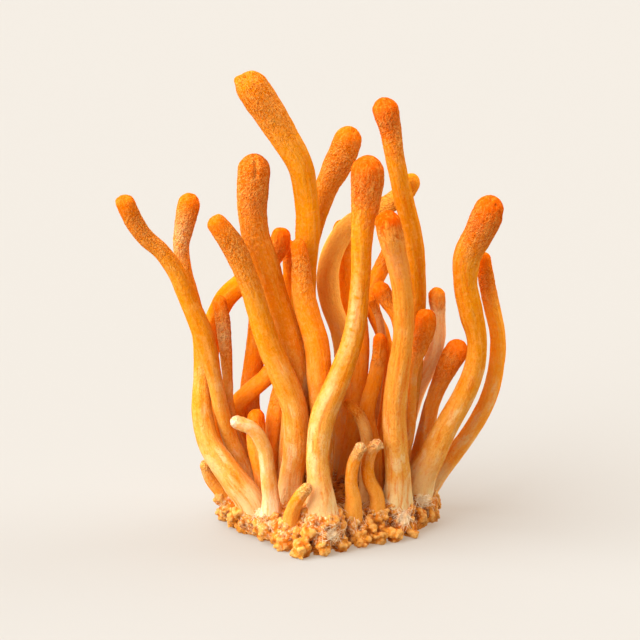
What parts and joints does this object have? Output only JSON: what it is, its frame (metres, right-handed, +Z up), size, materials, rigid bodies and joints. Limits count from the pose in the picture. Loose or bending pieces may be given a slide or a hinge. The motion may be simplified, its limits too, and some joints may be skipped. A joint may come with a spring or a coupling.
{
  "type": "cordyceps bunch",
  "caption": "Bunch of slender orange club fungi rising from a knobbly lump of grain and pale threads, cut flat underneath to stand by itself.",
  "frame": {"origin": "centre of the whole bunch's box, on the ground", "axes": "+Z up along the clubs, -Y towards the viewer of the picture, +X to the viewer's right"},
  "size_m": [0.0646, 0.0387, 0.0793],
  "materials": {
    "ripe_skin": "matt, finely grained orange skin of the ripe clubs",
    "shaded_skin": "matt, deeper red orange skin of the inner clubs",
    "pale_skin": "matt, pinkish cream skin of the young sprouts",
    "grain_and_threads": "rough, cream and orange lumps of grain under white threads"
  },
  "bodies": {
    "root": {"arched_back_club": "shaded_skin", "back_club_1": "ripe_skin", "back_club_2": "ripe_skin", "back_club_3": "ripe_skin", "back_club_4": "ripe_skin", "base_lump": "grain_and_threads", "bent_back_club": "shaded_skin", "crossing_club": "shaded_skin", "dark_back_club": "shaded_skin", "far_left_club": "ripe_skin", "finger_bud": "pale_skin", "front_centre_club": "ripe_skin", "front_left_club": "ripe_skin", "front_right_club": "ripe_skin", "front_sprout": "pale_skin", "hooked_left_sprout": "pale_skin", "inner_left_club": "shaded_skin", "inner_low_club": "shaded_skin", "inner_red_club": "shaded_skin", "left_foot_bud": "pale_skin", "low_back_club": "shaded_skin", "narrow_foot_club": "ripe_skin", "outer_left_club": "ripe_skin", "outer_right_club": "ripe_skin", "pale_neck_club": "pale_skin", "pink_sprout": "pale_skin", "pointed_middle_club": "ripe_skin", "right_curved_club": "ripe_skin", "second_front_sprout": "pale_skin", "shaded_left_club": "shaded_skin", "short_inner_club": "ripe_skin", "short_right_club": "ripe_skin", "slender_right_club": "pale_skin", "slim_back_club": "shaded_skin", "small_cap_club": "ripe_skin", "tall_back_club": "ripe_skin", "tall_left_club": "ripe_skin", "tall_right_club": "ripe_skin", "thick_left_club": "ripe_skin", "thin_left_club": "ripe_skin"}
  },
  "joints": []
}
